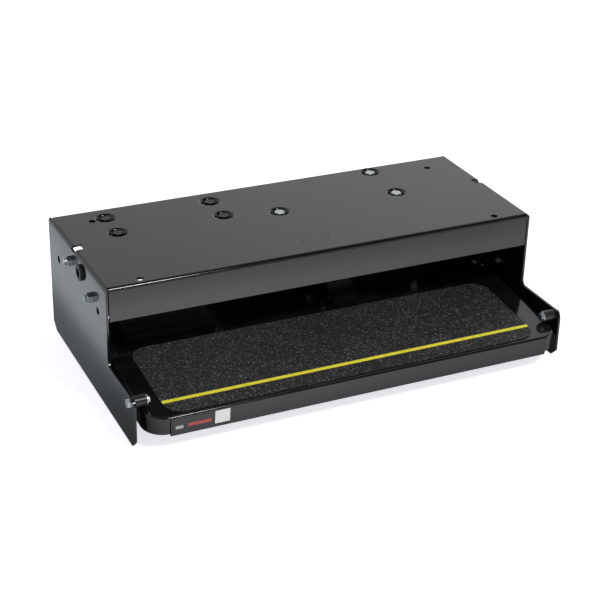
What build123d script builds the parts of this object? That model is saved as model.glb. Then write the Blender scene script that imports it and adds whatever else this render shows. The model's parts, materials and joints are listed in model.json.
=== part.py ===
from build123d import *
from math import atan2, cos, degrees, hypot, radians, sin, tan
import os

# Electric entry step for a caravan or motorhome, shown stowed.
# X runs across the step, -Y is the side a person steps from, +Z is up.
# The origin is the centre of the four mounting holes, on the top face.

# Housing: one folded sheet
HOUSING_WIDTH = 610.0
HOUSING_DEPTH = 235.0
SHEET = 3.0
BEND_RADIUS = 5.0
LIP_HEIGHT = 46.0
LIP_SIDE_GAP = 1.5
LIP_RELIEF = 6.0
SIDE_BACK_HEIGHT = 166.0
SIDE_TIP_HEIGHT = 174.0
SIDE_TIP_CHAMFER = 10.0
SIDE_BACK_CHAMFER = 13.0
SIDE_BACK_CHAMFER_RISE = 10.4
NOSE_REACH = 95.5
NOSE_TOP_DROP = 106.5
NOSE_CORNER_RADIUS = 11.0
NOSE_INNER_RADIUS = 7.0
NOTCH_INSET = 121.5
NOTCH_LENGTH = 15.0
NOTCH_WIDTH = 13.5
NOTCH_DROP = 5.0

# Holes in the housing
FRONT_HOLE_INSET = 12.5
BACK_HOLE_INSET = 35.5
MOUNT_SIDE_INSET = 49.5
MOUNT_SPACING_X = HOUSING_WIDTH - 2 * MOUNT_SIDE_INSET
MOUNT_SPACING_Y = HOUSING_DEPTH - FRONT_HOLE_INSET - BACK_HOLE_INSET
MOUNT_HOLE = 9.5
PILOT_HOLE = 2.5
PILOT_SPACING = 37.0
PILOT_INSET = 37.0
PILOT_SHIFT = -3.0
SIDE_HOLE = 10.5
SIDE_HOLE_DROP = 45.0
SIDE_HOLE_FRONT_INSET = 33.0
SIDE_HOLE_BACK_INSET = 40.5
SIDE_HOLE_INSETS = (SIDE_HOLE_FRONT_INSET, HOUSING_DEPTH - SIDE_HOLE_BACK_INSET)

# Dimpled screw seats in the top plate
DIMPLE_DIAMETER = 31.0
DIMPLE_FLOOR = 20.0
DIMPLE_DEPTH = 5.6
DIMPLE_SLOPE_RUN = 3.2
DIMPLE_SHOULDER = 3.8
SCREW_SIZE = 8.0
SCREW_CLEARANCE = 0.3
SCREW_GRIP = 15.0
SEAT_NUT_HEIGHT = 6.5
CONTROL_SIDE_INSET = 69.5
CONTROL_BACK_INSET = 31.5
CONTROL_SPACING_X = 150.5
CONTROL_SPACING_Y = 50.0
CONTROL_LEFT = CONTROL_SIDE_INSET - HOUSING_WIDTH / 2
CONTROL_FRONT = HOUSING_DEPTH - CONTROL_BACK_INSET - CONTROL_SPACING_Y
MOTOR_BOLT_LEFT = -10.0
MOTOR_BOLT_SPACING_X = 180.0
MOTOR_BACK_INSET = 19.0
MOTOR_BOLT_SPACING_Y = 80.0
MOTOR_BOLT_FRONT = HOUSING_DEPTH - MOTOR_BACK_INSET - MOTOR_BOLT_SPACING_Y

# Swing linkage: pivots seen from the side, behind the lip and below the top
FRONT_PIVOT_INSET = 59.0
FRONT_PIVOT_DROP = 38.0
REAR_PIVOT_INSET = 142.0
REAR_PIVOT_DROP = 24.0
FRONT_ARM_LENGTH = 135.0
FRONT_ARM_ANGLE = 56.0
REAR_ARM_LENGTH = 134.5
REAR_ARM_ANGLE = 53.0
TREAD_PIVOT_REACH = 88.9
TREAD_PIVOT_RISE = 18.7
ARM_THICKNESS = 5.0
ARM_WIDTH = 26.0
ARM_AXIAL_GAP = 0.4
REAR_ARM_WIDTH = 22.0

# Pivot hardware
PIVOT_BOLT = 8.0
HEX_FLATS = 13.0
BOLT_HEAD_HEIGHT = 5.3
NUT_HEIGHT = 8.0
HEX_TURNED = 0.575
HEX_CHAMFER = 0.08
NUT_COLLAR_SHARE = 0.22
NUT_COLLAR_RADIUS_SHARE = 0.44
BOLT_TAIL = 1.5
BUSH_BARREL = 12.0
BUSH_COLLAR = 18.0
BUSH_RUNNING_GAP = 0.06
BOLT_GAP = 0.1
WASHER_DIAMETER = 20.0
WASHER_THICKNESS = 1.6
TREAD_SPACER = 2.4
LOW_HEAD_HEIGHT = 3.6
LOW_HEAD_EDGE = 1.5
THIN_NUT_HEIGHT = 5.0
THIN_NUT_TAIL = 1.0
ROD_DIAMETER = 12.0
ROD_HOLE_CLEARANCE = 1.1
CLIP_THICKNESS = 1.2
CLIP_DIAMETER = 19.0
CLIP_WALL_GAP = 0.5
ROD_END_REACH = 2.4
ROD_CHAMFER = 0.8

# Drive
TORQUE_TUBE_DIAMETER = 25.0
TORQUE_TUBE_WALL = 2.5
TORQUE_TUBE_OFFSET = 32.0
LEVER_LENGTH = 56.0
LEVER_THICKNESS = 6.0
LEVER_WIDTH = 24.0
CRANK_INSET = 140.0
CRANK_DROP = 57.0
CRANK_X = 48.0
LINK_WIDTH = 20.0
LINK_THICKNESS = 5.0
LINK_SIDE_GAP = 1.0
CLEVIS_PIN = 8.0
CLEVIS_PIN_HEAD = 13.0
CLEVIS_HEAD_HEIGHT = 2.5
CLEVIS_PIN_TAIL = 2.0
OPEN_PIVOT_GAP = 0.25
SHAFT_DIAMETER = 14.0
SHAFT_GAP = 0.05
SHAFT_STEP = 2.0
SHAFT_TAIL = 0.8
SHAFT_PASS_GAP = 2.0
CRANK_NUT_HEIGHT = 5.6
CRANK_NUT_FLATS = 17.0
GEARBOX_X = 66.0
GEARBOX_THICKNESS = 38.0
GEARBOX_RADIUS = 33.0
GEARBOX_WALL = 4.0
GEAR_CENTRES = 40.0
MOTOR_AXIS_RISE = 3.0
GEARBOX_BOSS_LENGTH = 12.5
COVER_THICKNESS = 4.0
MOTOR_DIAMETER = 60.0
MOTOR_LENGTH = 92.0
MOTOR_WALL = 2.5
MOTOR_EDGE = 5.0
END_CAP_LENGTH = 14.0
END_CAP_DIAMETER = 40.0
END_CAP_EDGE = 4.0
BRACKET_SHEET = 3.0
BRACKET_MARGIN = 14.0
BRACKET_CORNER = 8.0
CHEEK_INSET = 6.0
CHEEK_RISE = 10.0
CHEEK_CORNER = 14.0

# Control unit
CONTROL_BOX_HEIGHT = 34.0
CONTROL_BOX_WALL = 2.5
CONTROL_MARGIN = 11.0
CONTROL_PLATE_CORNER = 6.0
CONTROL_BOX_CORNER = 5.0
CONNECTOR_WIDTH = 34.0
CONNECTOR_HEIGHT = 18.0
CONNECTOR_DEPTH = 14.0

# Tread, in its own level frame before it is tilted to its stowed place
TREAD_SIDE_GAP = 8.0
TREAD_WIDTH = HOUSING_WIDTH - 2 * (SHEET + TREAD_SIDE_GAP)
TREAD_PLATE_DEPTH = 240.0
ARM_NOTCH_START = 196.0
ARM_NOTCH_CLEARANCE = 4.0
TREAD_WALL = 24.5
TREAD_FRONT_REACH = 114.5
TREAD_FRONT_DROP = 126.9
TREAD_TILT = 4.6
TREAD_CORNER_RADIUS = 28.0
TREAD_SHEET = 3.0
TREAD_BEND_RADIUS = 3.5
TREAD_CORNER_EDGE = 3.0
FRONT_FLANGE = 27.5
FRONT_FLANGE_PROUD = 0.8
CORNER_SEAM = 1.2
FLANGE_OVERRUN = 6.0
BACK_FLANGE = 16.0
WALL_PIVOT_MARGIN = 11.5
WALL_END_RADIUS = 9.2
MAT_SIDE_INSET = 31.0
MAT_WIDTH = TREAD_WIDTH - 2 * MAT_SIDE_INSET
MAT_DEPTH = 150.0
MAT_FRONT_GAP = 5.5
MAT_THICKNESS = 1.6
MAT_SHIFT = -2.5
MAT_CORNER_RADIUS = 24.0
STRIPE_WIDTH = 5.6
STRIPE_INSET = 31.0
STRIPE_THICKNESS = 0.4
STRIPE_END_MARGIN = 0.5

# Stow bumpers and the wire grommet
BUMPER_INSET = 82.0
BUMPER_DIAMETER = 15.0
BUMPER_LENGTH = 17.0
BUMPER_GAP = 1.8
BUMPER_BOLT = 6.0
BUMPER_EDGE = 1.0
BUMPER_WASHER_DIAMETER = 14.0
BUMPER_WASHER_THICKNESS = 1.5
BUMPER_NUT_DIAMETER = 10.0
BUMPER_END_HEIGHT = 2.6
BUMPER_HEAD_FLATS = 11.0
BUMPER_HEAD_HEIGHT = 4.6
GROMMET_INSET = 98.0
GROMMET_DROP = 20.5
GROMMET_HOLE = 17.0
GROMMET_FLANGE = 22.0
GROMMET_BORE = 12.0
GROMMET_PROUD = 4.0
GROMMET_INSIDE = 7.0
GROMMET_EDGE = 1.5

LIP_Y = -(FRONT_HOLE_INSET + MOUNT_SPACING_Y / 2)
HALF_WIDTH = HOUSING_WIDTH / 2
INNER_X = HALF_WIDTH - SHEET
LIP_HALF = INNER_X - LIP_SIDE_GAP
CUT = 40.0
OVERCUT = 1.0


def behind(inset):
    """The Y of a place that lies this far behind the front lip."""
    return LIP_Y + inset


FRONT_PIVOT = (behind(FRONT_PIVOT_INSET), -FRONT_PIVOT_DROP)
REAR_PIVOT = (behind(REAR_PIVOT_INSET), -REAR_PIVOT_DROP)
CRANK_AXIS = (behind(CRANK_INSET), -CRANK_DROP)
TREAD_CORNER = (behind(-TREAD_FRONT_REACH), -TREAD_FRONT_DROP)


def step_out(start, length, angle):
    """The end of an arm that points back and down from start."""
    return (start[0] + length * cos(radians(angle)), start[1] - length * sin(radians(angle)))


TREAD_PIVOT = step_out(FRONT_PIVOT, FRONT_ARM_LENGTH, FRONT_ARM_ANGLE)
REAR_ROD = step_out(REAR_PIVOT, REAR_ARM_LENGTH, REAR_ARM_ANGLE)
TREAD_REAR_HOLE = (TREAD_PIVOT[0] + TREAD_PIVOT_REACH, TREAD_PIVOT[1] + TREAD_PIVOT_RISE)
TUBE_CENTRE = step_out(FRONT_PIVOT, TORQUE_TUBE_OFFSET, FRONT_ARM_ANGLE)
LEVER_PIN = step_out(FRONT_PIVOT, LEVER_LENGTH, FRONT_ARM_ANGLE)
CRANK_PIN = step_out(CRANK_AXIS, LEVER_LENGTH, FRONT_ARM_ANGLE)

CONTROL_POINTS = [
    (CONTROL_LEFT + column * CONTROL_SPACING_X, behind(CONTROL_FRONT + row * CONTROL_SPACING_Y))
    for column in (0, 1)
    for row in (0, 1)
]
MOTOR_POINTS = [
    (MOTOR_BOLT_LEFT, behind(MOTOR_BOLT_FRONT)),
    (MOTOR_BOLT_LEFT + MOTOR_BOLT_SPACING_X, behind(MOTOR_BOLT_FRONT)),
    (MOTOR_BOLT_LEFT + MOTOR_BOLT_SPACING_X, behind(MOTOR_BOLT_FRONT + MOTOR_BOLT_SPACING_Y)),
]
MOUNT_POINTS = [
    (side * MOUNT_SPACING_X / 2, row * MOUNT_SPACING_Y / 2) for side in (-1, 1) for row in (-1, 1)
]
PILOT_POINTS = [(PILOT_SHIFT + side * PILOT_SPACING / 2, behind(PILOT_INSET)) for side in (-1, 1)]

# Stations across the step, measured outwards from the middle
TREAD_SIDE = TREAD_WIDTH / 2
TREAD_SIDE_INNER = TREAD_SIDE - TREAD_SHEET
ARM_OUTER = TREAD_SIDE_INNER - TREAD_SPACER
ARM_INNER = ARM_OUTER - ARM_THICKNESS
HOUSING_SPACER = INNER_X - ARM_OUTER - ARM_AXIAL_GAP / 2
SEAT_Z = -SHEET - DIMPLE_DEPTH
PLATE_CUT = (CRANK_X - OVERCUT, CRANK_X + LEVER_THICKNESS + OVERCUT)


def rod_x(x0, x1, centre, radius):
    """A round bar along X, centred on a (y, z) point."""
    bar = Cylinder(radius, abs(x1 - x0), rotation=(0, 90, 0))
    return Pos((x0 + x1) / 2, centre[0], centre[1]) * bar


def ring_x(x0, x1, centre, radius, bore):
    """A washer or sleeve along X."""
    return rod_x(x0, x1, centre, radius) - rod_x(x0, x1, centre, bore)


def side_prism(face, x0, x1):
    """A solid from a side-view outline, between two X stations."""
    return extrude(Plane.YZ.offset(min(x0, x1)) * face, abs(x1 - x0))


def bar_face(start, end, width):
    """The side view of a flat bar with round ends over two pivots."""
    span = hypot(end[0] - start[0], end[1] - start[1])
    turn = degrees(atan2(end[1] - start[1], end[0] - start[0]))
    middle = ((start[0] + end[0]) / 2, (start[1] + end[1]) / 2)
    return Pos(*middle) * Rot(0, 0, turn) * SlotCenterToCenter(span, width)


def hex_head(flats, height):
    """An upright hex head on the origin, with the corners of its top turned off."""
    prism = extrude(RegularPolygon(flats / 2, 6, major_radius=False), height)
    turned = Cylinder(flats * HEX_TURNED, height, align=(Align.CENTER, Align.CENTER, Align.MIN))
    return prism & chamfer(turned.edges().group_by(Axis.Z)[-1], flats * HEX_CHAMFER)


def hex_x(x0, x1, centre, flats, chamfer_side):
    """A hex head or nut along X, with the corners of its free end turned off."""
    turn = 90 if chamfer_side > 0 else -90
    start = min(x0, x1) if chamfer_side > 0 else max(x0, x1)
    return Pos(start, centre[0], centre[1]) * Rot(0, turn, 0) * hex_head(flats, abs(x1 - x0))


def both_sides(make):
    """One piece on the left and its mirror image on the right."""
    right = make()
    return [mirror(right, about=Plane.YZ), right]


def group(pieces):
    """Separate solids that share one node."""
    return Compound(children=[solid for piece in pieces for solid in piece.solids()])


def fillet_at(face, points, radius):
    """Rounds the outline's corners that lie nearest to the named points."""
    corners = [face.vertices().sort_by_distance(Vector(*point, 0))[0] for point in points]
    return fillet(corners, radius)


def side_outline():
    """The side plate: a tall back half and a nose that reaches forward under the lip."""
    back = behind(HOUSING_DEPTH)
    nose = behind(-NOSE_REACH)
    corner = (LIP_Y, -NOSE_TOP_DROP)
    nose_top = (nose, -NOSE_TOP_DROP)
    outline = make_face(
        Polyline(
            (back, 0),
            (LIP_Y, 0),
            corner,
            nose_top,
            (nose, -SIDE_TIP_HEIGHT + SIDE_TIP_CHAMFER),
            (nose + SIDE_TIP_CHAMFER, -SIDE_TIP_HEIGHT),
            (back - SIDE_BACK_CHAMFER, -SIDE_BACK_HEIGHT),
            (back, -SIDE_BACK_HEIGHT + SIDE_BACK_CHAMFER_RISE),
            close=True,
        )
    )
    outline = fillet_at(outline, [nose_top], NOSE_CORNER_RADIUS)
    return fillet_at(outline, [corner], NOSE_INNER_RADIUS)


def channel_face(width, depth, sheet, radius):
    """A folded channel seen from the front: a top and two walls, open below."""
    outer = Pos(0, -depth / 2) * Rectangle(width, depth)
    outer = fillet(outer.vertices().group_by(Axis.Y)[-1], radius)
    inner = Pos(0, -(depth + sheet) / 2) * Rectangle(width - 2 * sheet, depth - sheet)
    inner = fillet(inner.vertices().group_by(Axis.Y)[-1], radius - sheet)
    return outer - inner


def fold_face(height, depth, sheet, radius, side):
    """A strip folded down at its end: the top runs from the fold by depth towards side."""
    outer = Pos(side * depth / 2, -height / 2) * Rectangle(depth, height)
    corner = outer.vertices().sort_by_distance(Vector(0, 0, 0))[0]
    outer = fillet(corner, radius)
    inner = Pos(side * (depth + sheet) / 2, -(height + sheet) / 2) * Rectangle(depth - sheet, height - sheet)
    corner = inner.vertices().sort_by_distance(Vector(side * sheet, -sheet, 0))[0]
    inner = fillet(corner, radius - sheet)
    return outer - inner


def dimple():
    """A round seat pressed into the top plate, with its screw hole."""
    rim = DIMPLE_DIAMETER / 2
    floor = DIMPLE_FLOOR / 2
    hole = SCREW_SIZE / 2 + SCREW_CLEARANCE
    shoulder = (floor + DIMPLE_SLOPE_RUN, 0)
    section = make_face(
        Polyline(
            (hole, -DIMPLE_DEPTH),
            (floor, -DIMPLE_DEPTH),
            shoulder,
            (rim, 0),
            (rim, -SHEET),
            (shoulder[0] + SHEET / 2, -SHEET),
            (floor + SHEET / 2, SEAT_Z),
            (hole, SEAT_Z),
            close=True,
        )
    )
    section = fillet_at(section, [shoulder], DIMPLE_SHOULDER)
    return revolve(Plane.XZ * section, Axis.Z)


def lip_strip(inset, inward):
    """A lip folded down from the top plate; inward is 1 for the front edge and -1 for the back."""
    fold = fold_face(LIP_HEIGHT, 2 * LIP_RELIEF, SHEET, BEND_RADIUS, inward)
    lip = side_prism(Pos(behind(inset), 0) * fold, -LIP_HALF, LIP_HALF)
    trim_y = behind(inset) + inward * (LIP_RELIEF + CUT / 2)
    for side in (-1, 1):
        lip -= Pos(side * (LIP_HALF + SHEET), trim_y, 0) * Box(CUT, CUT, CUT)
    return lip


def add_lips(body):
    """The front and back lips, with a relief at each end of each bend."""
    relief_width = LIP_SIDE_GAP + BEND_RADIUS
    relief = Box(relief_width, 2 * LIP_RELIEF, 4 * SHEET)
    for inset, inward in ((0, 1), (HOUSING_DEPTH, -1)):
        edge = Box(2 * (INNER_X - BEND_RADIUS), 2 * BEND_RADIUS, 2 * LIP_HEIGHT)
        body -= Pos(0, behind(inset), 0) * edge
        for side in (-1, 1):
            body -= Pos(side * (INNER_X - relief_width / 2), behind(inset), 0) * relief
        body += lip_strip(inset, inward)
    return body


def frame_housing():
    """Top plate, two lips and two side plates, folded from one sheet."""
    section = channel_face(HOUSING_WIDTH, SIDE_TIP_HEIGHT, SHEET, BEND_RADIUS)
    channel = extrude(Plane.XZ.offset(-behind(HOUSING_DEPTH)) * section, HOUSING_DEPTH + NOSE_REACH)
    body = channel & side_prism(side_outline(), -HALF_WIDTH, HALF_WIDTH)
    body = add_lips(body)
    notch = Box(2 * NOTCH_WIDTH, NOTCH_LENGTH, 2 * NOTCH_DROP)
    for side in (-1, 1):
        body -= Pos(side * HALF_WIDTH, behind(NOTCH_INSET + NOTCH_LENGTH / 2), 0) * notch
    return cut_housing_holes(body)


def cut_housing_holes(body):
    """Screw seats, mounting holes and the side plates' holes."""
    for x, y in CONTROL_POINTS + MOTOR_POINTS:
        body -= Pos(x, y, 0) * Cylinder(DIMPLE_DIAMETER / 2, 4 * SHEET)
        body += Pos(x, y, 0) * dimple()
    for x, y in MOUNT_POINTS:
        body -= Pos(x, y, 0) * Cylinder(MOUNT_HOLE / 2, 4 * SHEET)
    for x, y in PILOT_POINTS:
        body -= Pos(x, y, 0) * Cylinder(PILOT_HOLE / 2, 4 * SHEET)
    holes = [(FRONT_PIVOT, PIVOT_BOLT / 2 + BOLT_GAP), (REAR_PIVOT, PIVOT_BOLT / 2 + BOLT_GAP)]
    holes += [((behind(inset), -SIDE_HOLE_DROP), SIDE_HOLE / 2) for inset in SIDE_HOLE_INSETS]
    holes.append((bumper_centre(), BUMPER_BOLT / 2 + BOLT_GAP))
    for centre, radius in holes:
        body -= rod_x(-HALF_WIDTH - SHEET, -INNER_X + SHEET, centre, radius)
        body -= rod_x(HALF_WIDTH + SHEET, INNER_X - SHEET, centre, radius)
    body -= rod_x(-HALF_WIDTH - SHEET, -INNER_X + SHEET, grommet_centre(), GROMMET_HOLE / 2)
    return body


def tread_top_at(y):
    """The height of the tilted tread's top face at a Y."""
    return TREAD_CORNER[1] + (y - TREAD_CORNER[0]) * tan(radians(TREAD_TILT))


def bumper_centre():
    """The bumper stands just above the stowed tread."""
    y = behind(-BUMPER_INSET)
    lift = (BUMPER_DIAMETER / 2 + BUMPER_GAP) / cos(radians(TREAD_TILT))
    return (y, tread_top_at(y) + lift)


def grommet_centre():
    return (behind(GROMMET_INSET), -GROMMET_DROP)


def pivot_bolt(centre):
    """Right side: the head is inside the arm, the thread passes out to the nut."""
    washer_inner = ARM_INNER - ARM_AXIAL_GAP / 2 - WASHER_THICKNESS
    head = hex_x(washer_inner - BOLT_HEAD_HEIGHT, washer_inner, centre, HEX_FLATS, -1)
    return head + rod_x(washer_inner, HALF_WIDTH + NUT_HEIGHT + BOLT_TAIL, centre, PIVOT_BOLT / 2)


def pivot_bush(centre):
    """Right side: a collar against the plate and a barrel through the arm."""
    collar_end = INNER_X - HOUSING_SPACER
    barrel_end = ARM_INNER - ARM_AXIAL_GAP / 2
    bush = rod_x(collar_end, INNER_X, centre, BUSH_COLLAR / 2)
    bush += rod_x(barrel_end, collar_end, centre, BUSH_BARREL / 2)
    return bush - rod_x(barrel_end, INNER_X, centre, PIVOT_BOLT / 2 + BOLT_GAP)


def pivot_washer(centre):
    outer = ARM_INNER - ARM_AXIAL_GAP / 2
    return ring_x(outer - WASHER_THICKNESS, outer, centre, WASHER_DIAMETER / 2, PIVOT_BOLT / 2 + BOLT_GAP)


def lock_nut(x0, centre, height, flats, bolt):
    """A hex nut with a round collar that holds its locking ring."""
    collar = height * NUT_COLLAR_SHARE
    nut = hex_x(x0, x0 + height - collar, centre, flats, 1)
    collar_start = x0 + height - collar - OVERCUT
    nut += rod_x(collar_start, x0 + height, centre, flats * NUT_COLLAR_RADIUS_SHARE)
    return nut - rod_x(x0, x0 + height, centre, bolt / 2 + BOLT_GAP)


def housing_pivots():
    """Bolts, bushes, washers and nuts of the four upper pivots."""
    centres = (FRONT_PIVOT, REAR_PIVOT)
    bolts = [piece for centre in centres for piece in both_sides(lambda: pivot_bolt(centre))]
    bushes = [piece for centre in centres for piece in both_sides(lambda: pivot_bush(centre))]
    washers = [piece for centre in centres for piece in both_sides(lambda: pivot_washer(centre))]
    nuts = [
        piece
        for centre in centres
        for piece in both_sides(lambda: lock_nut(HALF_WIDTH, centre, NUT_HEIGHT, HEX_FLATS, PIVOT_BOLT))
    ]
    return {"pivot_bolts": bolts, "pivot_bushes": bushes, "pivot_washers": washers, "pivot_nuts": nuts}


def bumpers():
    """Hex bolt from outside, rubber sleeve, and a washer with the nut that holds it."""
    centre = bumper_centre()
    sleeve_end = INNER_X - BUMPER_LENGTH
    washer_end = sleeve_end - BUMPER_WASHER_THICKNESS
    bolt_end = washer_end - BUMPER_END_HEIGHT
    bore = BUMPER_BOLT / 2 + BOLT_GAP

    def bolt():
        head = hex_x(HALF_WIDTH, HALF_WIDTH + BUMPER_HEAD_HEIGHT, centre, BUMPER_HEAD_FLATS, 1)
        return head + rod_x(bolt_end, HALF_WIDTH, centre, BUMPER_BOLT / 2)

    def sleeve():
        return fillet(
            ring_x(sleeve_end, INNER_X, centre, BUMPER_DIAMETER / 2, bore).edges().filter_by(GeomType.CIRCLE)
            .sort_by(Axis.X)[:2].sort_by(SortBy.RADIUS)[-1],
            BUMPER_EDGE,
        )

    def washer():
        disc = ring_x(washer_end, sleeve_end, centre, BUMPER_WASHER_DIAMETER / 2, bore)
        boss = ring_x(bolt_end, washer_end, centre, BUMPER_NUT_DIAMETER / 2, bore)
        return disc + boss

    return {
        "bumper_bolts": both_sides(bolt),
        "bumper_sleeves": both_sides(sleeve),
        "bumper_washers": both_sides(washer),
    }


def wire_grommet():
    """A snap bushing in the left plate, with an open bore."""
    centre = grommet_centre()
    flange = rod_x(-HALF_WIDTH - GROMMET_PROUD, -HALF_WIDTH, centre, GROMMET_FLANGE / 2)
    flange = fillet(flange.edges().group_by(Axis.X)[0], GROMMET_EDGE)
    barrel = rod_x(-HALF_WIDTH, -INNER_X + GROMMET_INSIDE, centre, GROMMET_HOLE / 2 - BOLT_GAP)
    body = flange + barrel
    return body - rod_x(-HALF_WIDTH - CUT, -INNER_X + CUT, centre, GROMMET_BORE / 2)


def seat_screw(x, y):
    """A hex screw whose head sits in a dimple, below the top face."""
    shank = Cylinder(SCREW_SIZE / 2, SCREW_GRIP, align=(Align.CENTER, Align.CENTER, Align.MAX))
    return Pos(x, y, -DIMPLE_DEPTH) * (hex_head(HEX_FLATS, BOLT_HEAD_HEIGHT) + shank)


def seat_nut(x, y, top):
    """A hex nut under a bracket, on a vertical screw."""
    nut = extrude(RegularPolygon(HEX_FLATS / 2, 6, major_radius=False), -SEAT_NUT_HEIGHT)
    nut -= Cylinder(SCREW_SIZE / 2 + BOLT_GAP, 4 * SEAT_NUT_HEIGHT)
    return Pos(x, y, top) * nut


def control_unit():
    """Bracket, box, lid and socket of the control unit."""
    middle_x = CONTROL_LEFT + CONTROL_SPACING_X / 2
    middle_y = behind(CONTROL_FRONT + CONTROL_SPACING_Y / 2)
    plate_x = CONTROL_SPACING_X + 2 * CONTROL_MARGIN
    plate_y = CONTROL_SPACING_Y + 2 * CONTROL_MARGIN
    under = SEAT_Z - BRACKET_SHEET
    plate = Pos(middle_x, middle_y, SEAT_Z - BRACKET_SHEET / 2) * Box(plate_x, plate_y, BRACKET_SHEET)
    plate = fillet(plate.edges().filter_by(Axis.Z), CONTROL_PLATE_CORNER)
    for x, y in CONTROL_POINTS:
        plate -= Pos(x, y, 0) * Cylinder(SCREW_SIZE / 2 + SCREW_CLEARANCE, CUT)
    box_x = CONTROL_SPACING_X - 2 * CONTROL_MARGIN
    lid_z = under - CONTROL_BOX_HEIGHT
    shell = Pos(middle_x, middle_y, (under + lid_z) / 2) * Box(box_x, plate_y, CONTROL_BOX_HEIGHT)
    shell = fillet(shell.edges().filter_by(Axis.Z), CONTROL_BOX_CORNER)
    hollow = Box(box_x - 2 * CONTROL_BOX_WALL, plate_y - 2 * CONTROL_BOX_WALL, CONTROL_BOX_HEIGHT)
    shell -= Pos(middle_x, middle_y, (under + lid_z) / 2 - CONTROL_BOX_WALL) * hollow
    socket_x = middle_x + box_x / 2
    socket_z = (under + lid_z) / 2
    shell -= Pos(socket_x, middle_y, socket_z) * Box(4 * CONTROL_BOX_WALL, CONNECTOR_WIDTH, CONNECTOR_HEIGHT)
    lid = Pos(middle_x, middle_y, lid_z - CONTROL_BOX_WALL / 2) * Box(box_x, plate_y, CONTROL_BOX_WALL)
    lid = fillet(lid.edges().filter_by(Axis.Z), CONTROL_BOX_CORNER)
    rib = Box(box_x - 4 * CONTROL_BOX_WALL, CONTROL_BOX_WALL, CONTROL_BOX_WALL)
    rib_z = lid_z - CONTROL_BOX_WALL - CONTROL_BOX_WALL / 2
    for row in (-1, 0, 1):
        lid += Pos(middle_x, middle_y + row * plate_y / 4, rib_z) * rib
    fit = 2 * BOLT_GAP
    socket = Pos(socket_x, middle_y, socket_z) * Box(
        CONNECTOR_DEPTH, CONNECTOR_WIDTH - fit, CONNECTOR_HEIGHT - fit)
    walls = 2 * CONTROL_BOX_WALL
    mouth = Box(CONNECTOR_DEPTH, CONNECTOR_WIDTH - walls, CONNECTOR_HEIGHT - walls)
    socket -= Pos(socket_x + CONTROL_BOX_WALL, middle_y, socket_z) * mouth
    screws = [seat_screw(x, y) for x, y in CONTROL_POINTS]
    nuts = [seat_nut(x, y, under) for x, y in CONTROL_POINTS]
    return {
        "control_bracket": [plate],
        "control_box": [shell],
        "control_lid": [lid],
        "control_connector": [socket],
        "control_screws": screws,
        "control_nuts": nuts,
    }


def gearbox_face(radius):
    """Side view of the gearbox: a round end over each of its two shafts."""
    return bar_face(CRANK_AXIS, motor_axis(), 2 * radius)


def motor_axis():
    """The motor's shaft lies behind and above the output shaft."""
    return (CRANK_AXIS[0] + GEAR_CENTRES, CRANK_AXIS[1] + MOTOR_AXIS_RISE)


def motor_bracket():
    """A plate under the dimples and a cheek that hangs down beside the gearbox."""
    left = MOTOR_BOLT_LEFT - BRACKET_MARGIN
    right = MOTOR_BOLT_LEFT + MOTOR_BOLT_SPACING_X + BRACKET_MARGIN
    front = behind(MOTOR_BOLT_FRONT) - BRACKET_MARGIN
    back = behind(MOTOR_BOLT_FRONT + MOTOR_BOLT_SPACING_Y) + BRACKET_MARGIN
    under = SEAT_Z - BRACKET_SHEET
    outline = make_face(
        Polyline(
            (left, front),
            (right, front),
            (right, back),
            (right - 3 * BRACKET_MARGIN, back),
            (GEARBOX_X - BRACKET_SHEET, behind(MOTOR_BOLT_FRONT) + 3 * BRACKET_MARGIN),
            (left, front + 2 * BRACKET_MARGIN),
            close=True,
        )
    )
    outline = fillet(outline.vertices(), BRACKET_CORNER)
    plate = Pos(0, 0, under) * extrude(outline, BRACKET_SHEET)
    cheek_depth = GEAR_CENTRES + 2 * (GEARBOX_RADIUS - CHEEK_INSET)
    cheek_bottom = CRANK_AXIS[1] - GEARBOX_RADIUS + CHEEK_RISE
    cheek_y = (CRANK_AXIS[0] + motor_axis()[0]) / 2
    cheek = Pos(GEARBOX_X - BRACKET_SHEET / 2, cheek_y, (under + cheek_bottom) / 2 + BRACKET_SHEET / 4) * Box(
        BRACKET_SHEET, cheek_depth, under - cheek_bottom + BRACKET_SHEET / 2)
    cheek = fillet(cheek.edges().filter_by(Axis.X).group_by(Axis.Z)[0], CHEEK_CORNER)
    body = plate + cheek
    body -= rod_x(GEARBOX_X - CUT, GEARBOX_X + CUT / 4, CRANK_AXIS, SHAFT_DIAMETER / 2 + SHAFT_PASS_GAP)
    for x, y in MOTOR_POINTS:
        body -= Pos(x, y, 0) * Cylinder(SCREW_SIZE / 2 + SCREW_CLEARANCE, CUT)
    return body


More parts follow.
